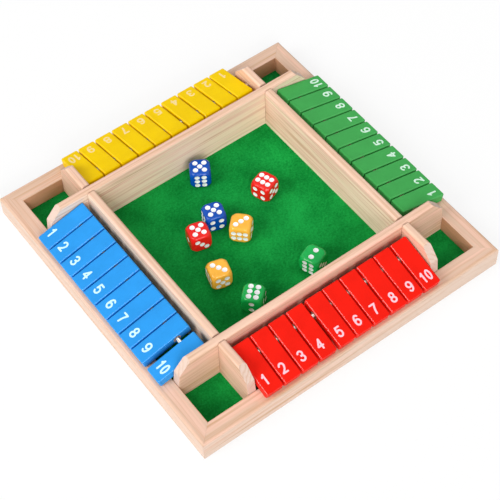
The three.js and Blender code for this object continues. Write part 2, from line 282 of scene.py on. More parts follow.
class Finish:
    """The node tree of a material or world, and the means to wire it."""

    def __init__(self, name, kind="materials"):
        self.owner = getattr(bpy.data, kind).new(name)
        self.owner.use_nodes = True
        self.tree = self.owner.node_tree
        self.tree.nodes.clear()

    def node(self, kind, settings=None, inputs=None, output=0):
        """Adds a node, with its settings first and then its sockets' values or links. Returns an output."""
        made = self.tree.nodes.new(kind)
        for key, value in (settings or {}).items():
            setattr(made, key, value)
        for key, value in (inputs or {}).items():
            if isinstance(value, Flow):
                self.tree.links.new(value.socket, made.inputs[key])
            elif getattr(made.inputs[key], "type", "") == "RGBA" and len(value) == 3:
                made.inputs[key].default_value = (*value, 1)
            else:
                made.inputs[key].default_value = value
        return Flow(self, made.outputs[output]) if len(made.outputs) else None

    def place(self):
        """Place on the piece in millimetres, and its three parts."""
        spot = self.node("ShaderNodeTexCoord", output="Object")
        scaled = self.node(
            "ShaderNodeVectorMath", {"operation": "SCALE"}, {0: spot, "Scale": 1 / MM})
        return scaled, *(self.node("ShaderNodeSeparateXYZ", None, {0: scaled}, i) for i in range(3))

    def facing(self, axis):
        """Part of a face's outward direction along x (0), y (1) or z (2)."""
        direction = self.node("ShaderNodeTexCoord", output="Normal")
        return self.node("ShaderNodeSeparateXYZ", None, {0: direction}, axis)

    def noise(self, vector, scale, detail=2.0, roughness=0.5, distortion=0.0):
        inputs = {"Vector": vector, "Scale": scale, "Detail": detail,
                  "Roughness": roughness, "Distortion": distortion}
        return self.node("ShaderNodeTexNoise", {"noise_dimensions": "3D"}, inputs)

    def streaks(self, x, y, z, detail, roughness=0.5):
        """Noise that is drawn out, as each part of the place is scaled by itself."""
        place = self.node("ShaderNodeCombineXYZ", None, {0: x, 1: y, 2: z})
        return self.noise(place, 1.0, detail, roughness)

    def mix(self, first, second, factor):
        return self.node("ShaderNodeMix", {"data_type": "RGBA"}, {0: factor, 6: first, 7: second}, 2)

    def normal(self, height, strength, distance):
        inputs = {"Height": height, "Strength": strength, "Distance": distance}
        return self.node("ShaderNodeBump", None, inputs)

    def close(self, shader, kind="ShaderNodeOutputMaterial"):
        self.node(kind, None, {"Surface": shader})
        return self.owner

    def principled(self, **sockets):
        named = {key.replace("_", " "): value for key, value in sockets.items()}
        return self.close(self.node("ShaderNodeBsdfPrincipled", None, named))


def pine_finish(name, colours, along, seed, joints=(), kind="pine"):
    """Planed, unvarnished pine, with painted light and shade on its upright faces. Its grain runs along x (0)
    or y (1), with its joints on that line.
    """
    finish = Finish(name)
    chance = random.Random(seed)
    spot, *parts = finish.place()
    run, side, rise = parts[along], parts[1 - along], parts[2]
    shift = chance.uniform(0, 400)
    # growth rings round a heart somewhere below the board
    wander = finish.streaks(run * 0.012 + shift, side * 0.05 + shift, rise * 0.05, 3.0, 0.55)
    across = side - chance.uniform(-25, 25)
    deep = rise + chance.uniform(45, 75)
    ring = (across * across + deep * deep).root() + wander * 12
    spread = finish.streaks(shift, 0.0, ring * 0.05, 1.0) * 9
    phase = (ring + spread) * (2 * math.pi / RING_SPACING) + chance.uniform(0, 6)
    uneven = finish.streaks(run * 0.004 + shift, side * 0.12, ring * 0.28, 2.0)
    late = (phase.sine() * 0.5 + 0.5) ** 2.6 * uneven.step(0.38, 0.68)
    # long soft streaks, pink and brown by turns, and fine fibres
    streak = finish.streaks(run * 0.005 + shift, side * 0.2, rise * 0.2, 3.0, 0.62)
    brown = finish.streaks(run * 0.007 - shift, side * 0.33, rise * 0.33, 3.0, 0.66)
    fibre = finish.streaks(run * 0.05 + shift, side * 2.6, rise * 2.6, 4.0, 0.65)
    ground = finish.mix(getattr(colours, f"{kind}_light"), colours.pine_pink,
                        streak.step(0.42, 0.64) * 0.7)
    # upright faces take their kind's own wall colour, lighter or darker than the tops: painted light and
    # shade for how the lamps fall on the walls
    upright = 1 - abs(finish.facing(2)).step(0.1, 0.7)
    wall = finish.mix(getattr(colours, f"{kind}_wall"), colours.pine_pink,
                      streak.step(0.46, 0.6) * (0.25 if kind == "rail" else 0.75))
    # the rails' inner faces take a deeper colour still: painted shade of the recess
    if kind == "rail":
        wall = finish.mix(colours.rail_recess, wall, abs(side).step(126.3, 128))
    ground = finish.mix(ground, wall, upright * 0.9)
    thin = finish.streaks(run * 0.009 + shift, side * 0.75, rise * 0.75, 3.0, 0.6)
    # brown streaks come thicker on upright faces: partly grain, partly painted shade that darkens the walls
    flank = finish.mix(ground, colours.pine_dark,
                       late * 0.28 + (brown - upright * 0.045).step(0.48, 0.66) * (upright * 0.24 + 0.36)
                       + (thin - upright * 0.04).step(0.48, 0.66) * (upright * 0.2 + 0.3))
    flank = finish.mix(flank, colours.pine_dark, fibre.step(0.52, 0.78) * 0.16)
    # sawn ends show the rings as arcs and a close speckle
    end = abs(finish.facing(along)).step(0.35, 0.62)
    speckle = finish.noise(spot, 1.7, 3.0, 0.7)
    sawn = finish.mix(colours.pine_end, colours.pine_dark,
                      late * 0.45 + speckle.step(0.45, 0.75) * 0.3)
    surface = finish.mix(flank, sawn, end)
    for joint in joints:
        line = 1 - abs(run - joint / MM).step(0.12, 0.85)
        surface = finish.mix(surface, colours.glue_line, line * 0.55)
    relief = fibre * 0.6 + late * 0.4 + end * speckle * 0.5
    return finish.principled(
        Base_Color=surface,
        Roughness=0.56 + fibre * 0.16 + end * 0.1,
        Specular_IOR_Level=0.25,
        Normal=finish.normal(relief, 0.35, 0.06 * MM),
    )


def plywood_finish(name, colours):
    """Thin birch veneer of the base board."""
    finish = Finish(name)
    _, run, side, rise = finish.place()
    drift = finish.streaks(run * 0.004, side * 0.02, rise * 0.02, 2.0) - 0.5
    band = ((side + drift * 40) * 0.4).sine() * 0.5 + 0.5
    fibre = finish.streaks(run * 0.06, side * 2.2, rise * 2.2, 4.0, 0.65)
    ground = finish.mix(colours.plywood, colours.plywood_dark, band ** 2 * 0.22)
    ground = finish.mix(ground, colours.plywood_dark, fibre.step(0.48, 0.75) * 0.35)
    return finish.principled(
        Base_Color=ground,
        Roughness=0.66 + fibre * 0.15,
        Specular_IOR_Level=0.3,
        Normal=finish.normal(fibre, 0.4, 0.08 * MM),
    )


def felt_finish(name, colours):
    """Short felt, brushed slantwise, with deeper and lighter patches."""
    finish = Finish(name)
    spot, x, y, _ = finish.place()
    warp = (finish.noise(spot, 0.035, 3.0) - 0.5) * 16
    slant = (x + y) * 0.7071 + warp
    rise = (y - x) * 0.7071 + warp * 0.6
    brushed = finish.streaks(slant * 0.16, rise * 0.34, 0.0, 4.0, 0.7)
    patch = finish.noise(spot, 0.032, 2.0, 0.5)
    hair = finish.streaks(slant * 1.1, rise * 2.4, 0.0, 3.0, 0.7)
    pile = finish.noise(spot, 0.55, 3.0, 0.75)
    tone = brushed * 0.16 + patch * 0.34 + hair * 0.14 + pile * 0.36
    shade = finish.mix(colours.felt_dark, colours.felt_light, tone.step(0.34, 0.66))
    return finish.principled(
        Base_Color=shade,
        Roughness=0.95,
        Specular_IOR_Level=0.05,
        Normal=finish.normal(hair * 0.6 + brushed * 0.6, 0.5, 0.2 * MM),
    )


def steel_finish(name, colours):
    """Drawn steel with fine lines along the rod."""
    finish = Finish(name)
    spot, x, y, z = finish.place()
    drawn = finish.streaks(x * 0.3, y * 0.3, z * 6, 3.0, 0.6)
    spots = finish.noise(spot, 0.9, 3.0, 0.6).step(0.55, 0.75)
    metal = finish.mix(colours.steel, (0.35, 0.34, 0.33), spots * 0.35)
    return finish.principled(
        Base_Color=metal,
        Metallic=1.0,
        Roughness=0.17 + drawn * 0.12 + spots * 0.15,
        Normal=finish.normal(drawn, 0.15, 0.02 * MM),
    )


def paint_finish(name, shade, along, shine):
    """Satin paint over wood, whose grain shows faintly along the tile."""
    finish = Finish(name)
    spot, *parts = finish.place()
    run, side, rise = parts[along], parts[1 - along], parts[2]
    grain = finish.streaks(run * 0.06, side * 1.5, rise * 1.5, 4.0, 0.6)
    cloud = finish.noise(spot, 0.06, 2.0)
    deep = tuple(c * 0.9 for c in shade)
    pale = tuple(min(1, c * 1.05) for c in shade)
    tone = grain.step(0.35, 0.7) * 0.3 + cloud.step(0.35, 0.65) * 0.45
    # a glossy coat lies only on the long edge turned to the lamps, placed so that they make a highlight line
    # along it
    edge = 0 - finish.facing(1 - along)
    lamp_side_gloss = edge.step(0.1, 0.3) * (1 - edge.step(0.88, 0.97))
    return finish.principled(
        Base_Color=finish.mix(pale, deep, tone),
        Roughness=0.34 + grain * 0.14,
        Specular_IOR_Level=0.14,
        Specular_Tint=(*(0.15 + 0.85 * c for c in shade), 1),
        Coat_Weight=lamp_side_gloss * shine,
        Coat_Roughness=0.14,
        Coat_IOR=1.9,
        Normal=finish.normal(grain + cloud * 0.6, 0.22, 0.05 * MM),
    )


def number_finish(name, ink, ground, wear):
    """Printed paint of a number, worn a little so that the tile's colour shows through."""
    finish = Finish(name)
    spot, *_ = finish.place()
    speck = finish.noise(spot, 2.4, 4.0, 0.7)
    cloud = finish.noise(spot, 0.5, 2.0)
    worn = speck.step(0.60, 0.74) * wear + cloud.step(0.45, 0.75) * wear * 0.3
    return finish.principled(
        Base_Color=finish.mix(ink, ground, worn),
        Roughness=0.42 + speck * 0.12,
        Specular_IOR_Level=0.4,
        Normal=finish.normal(speck, 0.15, 0.03 * MM),
    )


def plastic_finish(name, shade):
    """Polished moulded plastic of a die, with faint handling marks."""
    finish = Finish(name)
    spot, *_ = finish.place()
    swirl = finish.noise(spot, 0.16, 3.0, 0.55, 0.8)
    rub = finish.noise(spot, 1.3, 4.0, 0.7)
    deep = tuple(c * 0.94 for c in shade)
    pale = tuple(min(1, c * 1.03 + 0.002) for c in shade)
    level = abs(finish.facing(2))
    rolled = level.step(0.2, 0.45) * (1 - level.step(0.93, 0.985))
    return finish.principled(
        Base_Color=finish.mix(pale, deep, swirl.step(0.35, 0.65)),
        Roughness=0.16 + rub.step(0.45, 0.8) * 0.12,
        Specular_IOR_Level=0.25,
        Specular_Tint=(*(0.35 + 0.65 * c for c in shade), 1),
        Coat_Weight=rolled * 0.45,
        Coat_Roughness=0.06,
        Normal=finish.normal(rub * 0.5 + swirl, 0.05, 0.05 * MM),
    )


def pip_finish(name, ink):
    """White enamel settled in the dimples."""
    finish = Finish(name)
    spot, *_ = finish.place()
    speck = finish.noise(spot, 1.5, 3.0, 0.6)
    grey = tuple(c * 0.86 for c in ink)
    return finish.principled(
        Base_Color=finish.mix(ink, grey, speck.step(0.5, 0.8) * 0.6),
        Roughness=0.3 + speck * 0.15,
        Specular_IOR_Level=0.45,
        Normal=finish.normal(speck, 0.12, 0.04 * MM),
    )


# Meshes

def solid(name, vertices, faces):
    """Mesh of the given points and faces, with its faces turned outwards."""
    mesh = bpy.data.meshes.new(name)
    mesh.from_pydata([tuple(v) for v in vertices], [], faces)
    shape = bmesh.new()
    shape.from_mesh(mesh)
    bmesh.ops.recalc_face_normals(shape, faces=shape.faces)
    shape.to_mesh(mesh)
    shape.free()
    return mesh


def loft(name, loops, closed=False):
    """Mesh drawn through loops of points that have the same count each."""
    count = len(loops[0])
    rows = len(loops)
    faces = []
    for row in range(rows if closed else rows - 1):
        first, second = row * count, (row + 1) % rows * count
        for i in range(count):
            j = (i + 1) % count
            faces.append((first + i, first + j, second + j, second + i))
    if not closed:
        faces.append(tuple(reversed(range(count))))
        faces.append(tuple(range((rows - 1) * count, rows * count)))
    return solid(name, [p for loop in loops for p in loop], faces)


def combined(mesh, cutters, operation="DIFFERENCE"):
    """The mesh with the cutters taken away from it or added to it."""
    bases = [bpy.data.objects.new("work_piece", m) for m in (mesh, *cutters)]
    for o in bases:
        bpy.context.scene.collection.objects.link(o)
    for tool in bases[1:]:
        cut = bases[0].modifiers.new("cut", "BOOLEAN")
        cut.operation = operation
        cut.solver = "EXACT"
        cut.object = tool
    bpy.context.view_layer.update()
    depsgraph = bpy.context.evaluated_depsgraph_get()
    made = bpy.data.meshes.new_from_object(bases[0].evaluated_get(depsgraph))
    for o in bases:
        bpy.data.objects.remove(o)
    return made


def marked(mesh, index):
    """The mesh with two empty material slots, all its faces in one of them."""
    for _ in range(2):
        mesh.materials.append(None)
    mesh.polygons.foreach_set("material_index", [index] * len(mesh.polygons))
    return mesh


def piece(name, mesh, body, finishes, nodes=(), sharp=32, crisp=0, weighted=True):
    """Shows a mesh as a named piece that rides on a body and stands for its CAD nodes."""
    for i, finish in enumerate(finishes):
        if i < len(mesh.materials):
            mesh.materials[i] = finish
        else:
            mesh.materials.append(finish)
    shown = bpy.data.objects.new(name, mesh)
    bpy.context.scene.collection.objects.link(shown)
    mesh.shade_smooth()
    if crisp:
        bevel = shown.modifiers.new("crisp edge", "BEVEL")
        bevel.width = crisp
        bevel.segments = 2
        bevel.limit_method = "ANGLE"
        bevel.angle_limit = math.radians(sharp)
    else:
        mesh.set_sharp_from_angle(angle=math.radians(sharp))
    if weighted:
        shown.modifiers.new("even faces", "WEIGHTED_NORMAL").keep_sharp = not crisp
    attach(shown, body)
    if nodes:
        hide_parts(*nodes)
    return shown


def placed(mesh, matrix, name):
    """A copy of a mesh with its points moved to their place on the object."""
    copy = mesh.copy()
    copy.name = name
    copy.transform(matrix)
    return copy


def round_corners(corners, radii, steps):
    """Outline with its corners turned into arcs, each corner with a radius of its own."""
    outline = []
    for i, corner in enumerate(corners):
        before = (corners[i - 1] - corner).normalized()
        after = (corners[(i + 1) % len(corners)] - corner).normalized()
        half = before.angle(after) / 2
        centre = corner + (before + after).normalized() * (radii[i] / math.sin(half))
        start = corner + before * (radii[i] / math.tan(half)) - centre
        sweep = math.pi - 2 * half
        for k in range(steps + 1):
            turned = start.copy()
            turned.rotate(Matrix.Rotation(sweep * k / steps, 2))
            outline.append(centre + turned)
    return outline


def inset_outline(outline, shares, inset):
    """Outline with every edge moved inwards by the inset times the edge's own share."""
    lines = []
    for i, point in enumerate(outline):
        along = (outline[(i + 1) % len(outline)] - point).normalized()
        lines.append((point + Vector((-along.y, along.x)) * inset * shares[i], along))
    moved = []
    for i, (point, along) in enumerate(lines):
        other, before = lines[i - 1]
        turn = before.x * along.y - before.y * along.x
        gap = point - other
        moved.append(other + before * ((gap.x * along.y - gap.y * along.x) / turn))
    return moved


def rounded_plate(name, outline, shares, thickness, radius, steps):
    """Plate with its outline in x and y and its thickness along z, both rims rounded over."""
    rim = []
    for k in range(steps + 1):
        angle = math.pi / 2 * (1 - k / steps)
        rim.append((radius * (1 - math.cos(angle)), thickness / 2 - radius * (1 - math.sin(angle))))
    levels = [(inset, -z) for inset, z in rim] + rim[::-1]
    loops = [[(p.x, p.y, z) for p in inset_outline(outline, shares, inset)] for inset, z in levels]
    return loft(name, loops)


def lathe(name, stations, segments, along_x=False):
    """Round solid through pairs of a place and a radius, along z or x."""
    turns = [2 * math.pi * i / segments for i in range(segments)]
    loops = [[(r * math.cos(t), r * math.sin(t), z) for t in turns] for z, r in stations]
    if along_x:
        loops = [[(z, x, y) for x, y, z in loop] for loop in loops]
    return loft(name, loops)


def quarter(turns):
    return Matrix.Rotation(math.pi / 2 * turns, 4, "Z")


def basis(x, y, z):
    """Matrix that turns the three axes to these directions."""
    return Matrix((x, y, z)).transposed().to_4x4()


# Operators

class BOARDGAME_OT_rails(bpy.types.Operator):
    """Builds the four mitred rails of the frame"""

    bl_idname = "boardgame.rails"
    bl_label = "Frame rails"

    def section(self, tray):
        inner, outer = tray.frame_half - tray.rail_width, tray.frame_half
        top, rebate = tray.rail_height, tray.board_top + tray.rod_play
        points = [(inner + tray.board_lip, 0), (outer, 0)]
        for centre_x, radius, start, steps in (
            (outer - tray.rail_outer_round, tray.rail_outer_round, 0, 8),
            (inner + tray.rail_inner_round, tray.rail_inner_round, math.pi / 2, 4),
        ):
            for k in range(steps + 1):
                angle = start + math.pi / 2 * k / steps
                points.append((centre_x + radius * math.cos(angle), top - radius + radius * math.sin(angle)))
        return points + [(inner, rebate), (inner + tray.board_lip, rebate)]

    def execute(self, context):
        game = context.scene.board_game
        tray = game.tray
        section = self.section(tray)
        for side, turns in SIDES.items():
            outward = Vector((0, -1, 0)) if turns == 0 else quarter(turns) @ Vector((0, -1, 0))
            turned = basis(outward, UP, outward.cross(UP))
            loops = [[turned @ Vector((x, y, end * (x - tray.mitre_gap))) for x, y in section]
                     for end in (-1, 1)]
            wood = pine_finish(f"pine_{side}_rail", game.colours, turns % 2, RAIL_SEED + turns, kind="rail")
            piece(f"{side}_rail", loft(f"{side}_rail", loops), "tray", [wood],
                  [f"frame_rail_{side}"])
        return {"FINISHED"}


class BOARDGAME_OT_floor(bpy.types.Operator):
    """Lays the felt and gives the base board its veneer"""

    bl_idname = "boardgame.floor"
    bl_label = "Base board and felt"

    def execute(self, context):
        game = context.scene.board_game
        tray = game.tray
        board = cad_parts["base_board"]
        board.data.materials.clear()
        board.data.materials.append(plywood_finish("birch_plywood", game.colours))
        half = high("felt_lining").x
        count = FELT_SQUARES
        chance = random.Random(FELT_SEED)
        vertices, faces = [], []
        for j in range(count + 1):
            for i in range(count + 1):
                rim = i in (0, count) or j in (0, count)
                nap = tray.felt_nap * (1 if rim else chance.random())
                vertices.append((half * (2 * i / count - 1), half * (2 * j / count - 1), tray.felt_top - nap))
        row = count + 1
        for j in range(count):
            for i in range(count):
                first = j * row + i
                faces.append((first, first + 1, first + row + 1, first + row))
        border = ([*range(row)] + [j * row + count for j in range(1, row)]
                  + [count * row + i for i in reversed(range(count))]
                  + [j * row for j in reversed(range(1, count))])
        foot = len(vertices)
        vertices += [(vertices[i][0], vertices[i][1], tray.board_top) for i in border]
        total = len(border)
        for k in range(total):
            n = (k + 1) % total
            faces.append((border[n], border[k], foot + k, foot + n))
        faces.append(tuple(foot + k for k in reversed(range(total))))
        cloth = piece("felt_cloth", solid("felt_cloth", vertices, faces), "tray",
                      [felt_finish("green_felt", game.colours)], ["felt_lining"], weighted=False)
        return {"FINISHED"}


class BOARDGAME_OT_dividers(bpy.types.Operator):
    """Builds the two long dividers, the two short ones between them and the four end walls"""

    bl_idname = "boardgame.dividers"
    bl_label = "Dividers"

    def outline(self, tray, start, end, free_start, free_end):
        """Outline from the side, x along the divider and y up. A free end has the sloping cut."""
        points = []
        for place, free, way in ((end, free_end, 1), (start, free_start, -1)):
            side = [(place, tray.felt_top)]
            if free:
                side += [
                    (place, tray.rail_height),
                    (place - way * tray.end_taper, tray.divider_height - tray.corner_cut_depth),
                    (place - way * (tray.end_taper + tray.corner_cut_length), tray.divider_height),
                ]
            else:
                side.append((place, tray.divider_height))
            points += side if way > 0 else side[::-1]
        return [Vector(p) for p in points]

    def board(self, tray, start, end, free_start, free_end):
        outline = self.outline(tray, start, end, free_start, free_end)
        shares = []
        for i, point in enumerate(outline):
            after = outline[(i + 1) % len(outline)]
            shares.append(1 if point.y == after.y == tray.divider_height else 0)
        return rounded_plate("divider", outline, shares, tray.divider_thickness, tray.divider_round, 8)

    def execute(self, context):
        game = context.scene.board_game
        tray = game.tray
        stand = Matrix.Rotation(math.pi / 2, 4, "X")
        middle = tray.tray_half + tray.divider_thickness / 2
        outer = tray.tray_half + tray.divider_thickness
        rod_offset, rod_height = rod_line()
        wide = tray.rod_diameter / 2 + tray.rod_play
        socket = lathe("socket", [(tray.tray_half - MM, wide),
                                  (tray.tray_half + tray.rod_socket_depth, wide)], 48, True)
        seed = DIVIDER_SEED
        for side, turns in SIDES.items():
            node = "divider_front" if side in ("front", "left") else "divider_back"
            long = side in ("front", "back")
            # the long dividers run past the rows of both short sides, whose rods they hold
            reach = tray.divider_end if long else tray.tray_half - GLUE_GAP
            wood = self.board(tray, -reach, reach, long, long)
            wood.transform(quarter(turns) @ Matrix.Translation((0, -middle, 0)) @ stand)
            if long:
                holes = [placed(socket, quarter(turns) @ Matrix.Translation((way * rod_offset, 0, rod_height))
                                @ quarter(-1), "hole") for way in (-1, 1)]
                wood = combined(wood, holes)
            name = f"{'long' if long else 'short'}_divider_{side}"
            joints = [] if long else [-tray.tray_half, tray.tray_half]
            # the front long divider stands in the front pockets: its upright faces take the darker
            # shade_wall, painted shade
            kind = "shade" if side == "front" else "pine"
            grain = pine_finish(f"pine_{name}", game.colours, turns % 2, seed, joints, kind=kind)
            piece(name, wood, "tray", [grain], [node], crisp=tray.crisp_edge)
            seed += 1
            if not long:
                continue
            for end, way in (("left", -1), ("right", 1)):
                wall = self.board(tray, -tray.divider_end, -outer, True, False)
                spot = Matrix.Translation((way * middle, 0, 0))
                wall.transform(quarter(turns) @ spot @ quarter(1) @ stand)
                hole = placed(socket, quarter(turns) @ Matrix.Translation((0, -rod_offset, rod_height))
                              @ (quarter(2) if way < 0 else Matrix()), "hole")
                name = f"end_wall_{side}_{end}"
                glued = -outer if side == "front" else outer
                # end walls stand in the pockets: their upright faces take the darker shade_wall, painted
                # shade
                grain = pine_finish(f"pine_{name}", game.colours, 1, seed, [glued], kind="shade")
                piece(name, combined(wall, [hole]), "tray", [grain], [node],
                      crisp=tray.crisp_edge)
                seed += 1
        return {"FINISHED"}


class BOARDGAME_OT_rods(bpy.types.Operator):
    """Builds the four steel rods on which the tiles turn"""

    bl_idname = "boardgame.rods"
    bl_label = "Rods"

    def execute(self, context):
        game = context.scene.board_game
        metal = steel_finish("drawn_steel", game.colours)
        bottom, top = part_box("rod_red")
        radius, tip = game.tray.rod_diameter / 2, ROD_CHAMFER
        bar = lathe("rod", [(bottom.x, radius - tip), (bottom.x + tip, radius),
                            (top.x - tip, radius), (top.x, radius - tip)], 64, True)
        middle = (bottom + top) / 2
        for turns, name in enumerate(ROW_CODES):
            spot = quarter(turns) @ Matrix.Translation((0, middle.y, middle.z))
            piece(f"steel_rod_{name}", placed(bar, spot, f"steel_rod_{name}"), "tray", [metal],
                  [f"rod_{name}"])
        return {"FINISHED"}


def arc(x, y, wide, tall, start, end, steps=14):
    """Points of an elliptical arc between two angles in degrees."""
    angles = [math.radians(start + (end - start) * k / steps) for k in range(steps + 1)]
    return [(x + wide * math.cos(a), y + tall * math.sin(a)) for a in angles]


def turned_over(strokes):
    return [([(-x, -y) for x, y in stroke], closed) for stroke, closed in strokes]


SIX = [
    (arc(0.12, -0.05, 1.1, 1.05, 52, 176) + [(-1.0, -0.42)], False),
    (arc(0, -0.42, 0.98, 0.58, 0, 345, 23), True),
]
# Strokes of each digit in a square from -1 to 1, and whether a stroke closes on itself
DIGITS = {
    "0": [(arc(0, 0, 0.92, 1, 0, 348, 29), True)],
    "1": [([(-0.55, 0.5), (-0.1, 0.72), (0.2, 1)], False), ([(0.2, 1), (0.2, -1)], False)],
    "2": [
        (arc(-0.02, 0.42, 0.95, 0.58, 165, -28) + [(0.5, -0.25), (-0.2, -0.68), (-0.92, -1)], False),
        ([(-0.92, -1), (0.98, -1)], False),
    ],
    "3": [
        (arc(-0.05, 0.5, 0.9, 0.5, 158, -90), False),
        (arc(-0.05, -0.47, 1, 0.53, 90, -158), False),
    ],
    "4": [
        ([(0.5, -1), (0.5, 1)], False),
        ([(0.5, 1), (-1, -0.4)], False),
        ([(-1, -0.4), (1.05, -0.4)], False),
    ],
    "5": [
        ([(0.85, 1), (-0.68, 1)], False),
        ([(-0.68, 1), (-0.85, 0.12)], False),
        (arc(-0.05, -0.35, 1, 0.65, 146, -152, 20), False),
    ],
    "6": SIX,
    "7": [([(-0.98, 1), (0.98, 1)], False),
          ([(0.98, 1), (0.35, 0.3), (-0.02, -0.35), (-0.2, -1)], False)],
    "8": [(arc(0, 0.5, 0.82, 0.5, 0, 345, 23), True), (arc(0, -0.47, 1, 0.53, 0, 345, 23), True)],
    "9": turned_over(SIX),
}


class BOARDGAME_OT_tiles(bpy.types.Operator):
    """Builds the forty bored tiles and the numbers painted on them"""

    bl_idname = "boardgame.tiles"
    bl_label = "Numbered tiles"

    def ribbon(self, points, closed, half, bottom, top):
        """Flat stroke with round ends through the points."""
        points = [Vector(p) for p in points]
        count = len(points)
        loops = []
        for i, point in enumerate(points):
            before = points[i - 1] if closed or i else point
            after = points[(i + 1) % count] if closed or i < count - 1 else point
            along = (after - before).normalized()
            side = Vector((-along.y, along.x)) * half
            loops.append([point - side, point + side])
        if not closed:
            # the ends narrow as half a disc
            for end, inner in ((0, points[1]), (-1, points[-2])):
                outward = (points[end] - inner).normalized()
                low_side, high_side = loops[end]
                across = (high_side - low_side) / 2
                cap = [[points[end] + outward * half * math.sin(a) - across * math.cos(a),
                        points[end] + outward * half * math.sin(a) + across * math.cos(a)]
                       for a in (math.pi / 2 * k / 6 for k in range(1, 7))]
                tip = points[end] + outward * half
                cap[-1] = [tip - across * 0.02, tip + across * 0.02]
                loops = cap[::-1] + loops if end == 0 else loops + cap
        rows = [[(a.x, a.y, bottom), (b.x, b.y, bottom), (b.x, b.y, top), (a.x, a.y, top)]
                for a, b in loops]
        return loft("stroke", rows, closed)

    def number(self, tile, text):
        """Painted number, upright in x and y, with its paint rising along z."""
        half = tile.number_stroke / 2
        wide, tall = tile.number_width / 2 - half, tile.number_height / 2 - half
        strokes = []
        for i, digit in enumerate(text):
            shift = (i - (len(text) - 1) / 2) * tile.digit_step
            narrow = 0.86 if len(text) > 1 else 1
            for points, closed in DIGITS[digit]:
                spread = [(x * wide * narrow + shift, y * tall) for x, y in points]
                strokes.append(self.ribbon(spread, closed, half, -PRINT_ROOT, tile.number_relief))
        return combined(strokes[0], strokes[1:], "UNION")

    def corners(self, tile, half):
        """Corners of a tile, x away from the divider and the other way half a side each way."""
        return [Vector(p) for p in ((-tile.inner_reach, -half), (tile.outer_reach, -half),
                                    (tile.outer_reach, half), (-tile.inner_reach, half))]

    def block(self, tile, tray, width):
        """Bored tile: x away from the divider, y up, z along the row, origin on the rod's axis."""
        half, nose = tile.thickness / 2, tile.nose_round
        plan = round_corners(self.corners(tile, width / 2),
                             [tile.inner_corner, tile.outer_corner, tile.outer_corner, tile.inner_corner], 6)
        blank = rounded_plate("tile", plan, [1] * len(plan), tile.thickness, tile.edge_round, 5)
        blank.transform(Matrix.Rotation(-math.pi / 2, 4, "X"))
        # the upper edge beside the divider is rounded further
        turns = [math.pi / 2 * k / 8 for k in range(9)]
        waste = [(nose * (1 - math.cos(a)), half - nose * (1 - math.sin(a))) for a in turns]
        waste += [(nose, half + MM), (-MM, half + MM), (-MM, half - nose)]
        cutter = loft("waste", [[(x - tile.inner_reach, y, z) for x, y in waste] for z in (-width, width)])
        radius = tray.rod_diameter / 2 + tray.rod_play
        ends = width / 2 + MM
        stations = [(-ends, radius + tile.countersink + MM), (-width / 2 + tile.countersink, radius),
                    (width / 2 - tile.countersink, radius), (ends, radius + tile.countersink + MM)]
        bore = lathe("bore", stations, 48)
        return combined(marked(blank, 0), [marked(cutter, 0), marked(bore, 1)])

    def execute(self, context):
        game = context.scene.board_game
        tile, tray, colours = game.tile, game.tray, game.colours
        bottom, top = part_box("tile_red_1")
        width = top.x - bottom.x - 2 * tile.paint_gap
        rod_offset, rod_height = rod_line()
        block = self.block(tile, tray, width)
        # the tile rests on the frame at the slope at which its section comes down to it
        drop = rod_height - tray.rail_height - tray.rod_play
        outline = round_corners(self.corners(tile, tile.thickness / 2), [tile.corner_round] * 4, 2)
        slope = min(math.asin(drop / p.length) + math.atan2(p.y, p.x)
                    for p in outline if p.x > 0 and p.length > drop)
        outwards = basis(Vector((0, -1, 0)), UP, Vector((-1, 0, 0)))
        numbers = [self.number(tile, str(n)) for n in range(1, 11)]
        upright = basis(Vector((0, 0, -1)), Vector((-1, 0, 0)), UP.cross(Vector((1, 0, 0))))
        for turns, name in enumerate(ROW_CODES):
            shade = getattr(colours, name)
            # the last value weighs the coat placed on the edge turned to the lamps, for the highlight line
            paint = paint_finish(f"{name}_paint_on_wood", shade, (turns + 1) % 2,
                                 0.5 if name == "red" else 0.25)
            bare = pine_finish(f"bare_wood_in_{name}", colours, turns % 2, BARE_WOOD_SEED + turns)
            ink = number_finish(f"number_paint_on_{name}", getattr(colours, f"number_{name}"), shade,
                                0.3 if name == "green" else 0.2)
            shifts, further, drift = PRINTED[name]
            for i, number in enumerate(numbers):
                node = f"tile_{name}_{i + 1}"
                on_top = Matrix.Translation((tile.number_place + (further + drift * i) * MM,
                                             tile.thickness / 2, shifts[i] * MM)) @ upright
                bottom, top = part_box(node)
                middle = quarter(-turns) @ ((bottom + top) / 2)
                spot = (quarter(turns) @ Matrix.Translation((middle.x, -rod_offset, rod_height))
                        @ outwards @ Matrix.Rotation(-slope, 4, "Z"))
                piece(f"{name}_tile_{i + 1}", placed(block, spot, node), node, [paint, bare],
                      [node])
                painted = placed(number, spot @ on_top, f"number_{name}_{i + 1}")
                piece(f"number_{name}_{i + 1}", painted, node, [ink], weighted=False)
        return {"FINISHED"}


